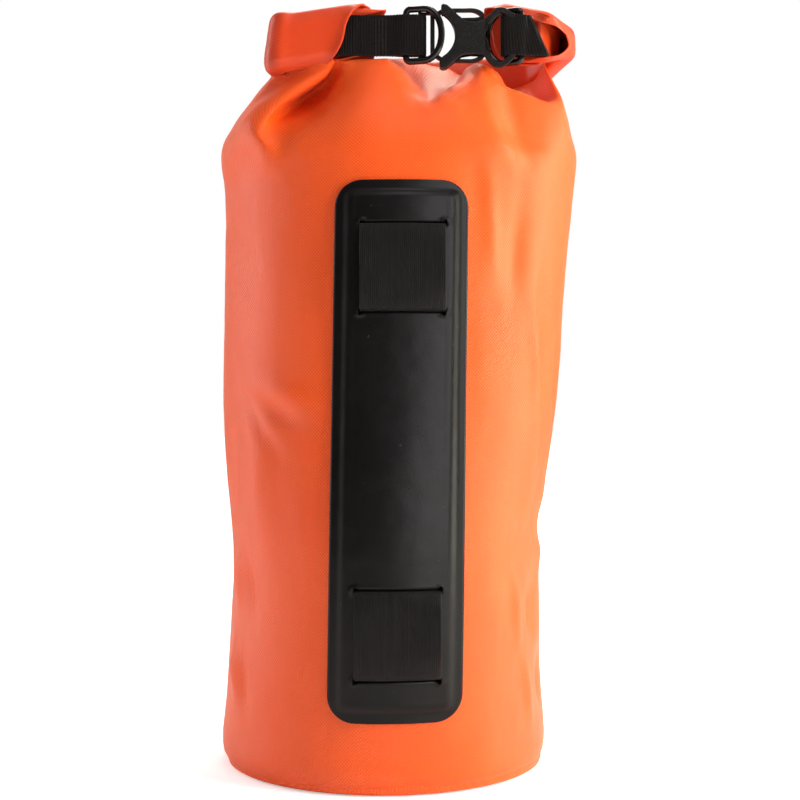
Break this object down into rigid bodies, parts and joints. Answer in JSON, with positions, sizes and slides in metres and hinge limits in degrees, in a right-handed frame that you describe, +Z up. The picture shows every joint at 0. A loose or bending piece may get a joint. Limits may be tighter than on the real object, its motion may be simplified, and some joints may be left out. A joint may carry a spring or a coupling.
{
  "type": "dry bag",
  "caption": "Roll-top cylindrical dry bag with a buckled rolled mouth, round base, reinforced front panel with wide webbing loops, and D-rings at the closure.",
  "frame": {"origin": "centre of the round base's underside", "axes": "+Z up along the bag, -Y towards the front with the panel and buckle, +X to the right seen from the front"},
  "size_m": [0.188, 0.185, 0.3877],
  "materials": {
    "coated_fabric": "orange welded fabric with a satin coating and a fine diamond emboss",
    "base_fabric": "orange coated fabric, flat",
    "stiffener": "plain extruded strip",
    "black_panel": "black coated fabric with a fine grain",
    "board": "plain sheet",
    "loop_webbing": "wide black webbing with fine upright ribs",
    "strap_webbing": "black woven strap, 20 mm wide",
    "buckle_plastic": "moulded, fine spark texture",
    "ring_plastic": "moulded, smooth"
  },
  "bodies": {
    "bag": {"bag_body": "coated_fabric", "base_disc": "base_fabric", "rolled_mouth": "coated_fabric", "mouth_stiffener": "stiffener", "reinforcement_panel": "black_panel", "backing_board": "board", "upper_loop": "loop_webbing", "lower_loop": "loop_webbing", "right_strap": "strap_webbing", "buckle_female": "buckle_plastic"},
    "male_side": {"left_strap": "strap_webbing", "buckle_male": "buckle_plastic"},
    "upper_prong_body": {"upper_prong": "buckle_plastic"},
    "lower_prong_body": {"lower_prong": "buckle_plastic"},
    "left_ring": {"left_d_ring": "ring_plastic"},
    "right_ring": {"right_d_ring": "ring_plastic"}
  },
  "joints": [
    {"name": "buckle_release", "type": "slide", "parent": "bag", "child": "male_side", "axis": [-1, 0, 0], "range_m": [0, 0.022]},
    {"name": "upper_prong_squeeze", "type": "hinge", "parent": "male_side", "child": "upper_prong_body", "pos_m": [0.0262, -0.052, 0.3822], "axis": [0, 1, 0], "range_deg": [0, 6]},
    {"name": "lower_prong_squeeze", "type": "hinge", "parent": "male_side", "child": "lower_prong_body", "pos_m": [0.0262, -0.052, 0.3618], "axis": [0, -1, 0], "range_deg": [0, 6]},
    {"name": "left_d_ring_swing", "type": "hinge", "parent": "male_side", "child": "left_ring", "pos_m": [0.0113, -0.052, 0.372], "axis": [0, 0, -1], "range_deg": [0, 100]},
    {"name": "right_d_ring_swing", "type": "hinge", "parent": "bag", "child": "right_ring", "pos_m": [0.0687, -0.052, 0.372], "axis": [0, 0, -1], "range_deg": [0, 25]}
  ]
}
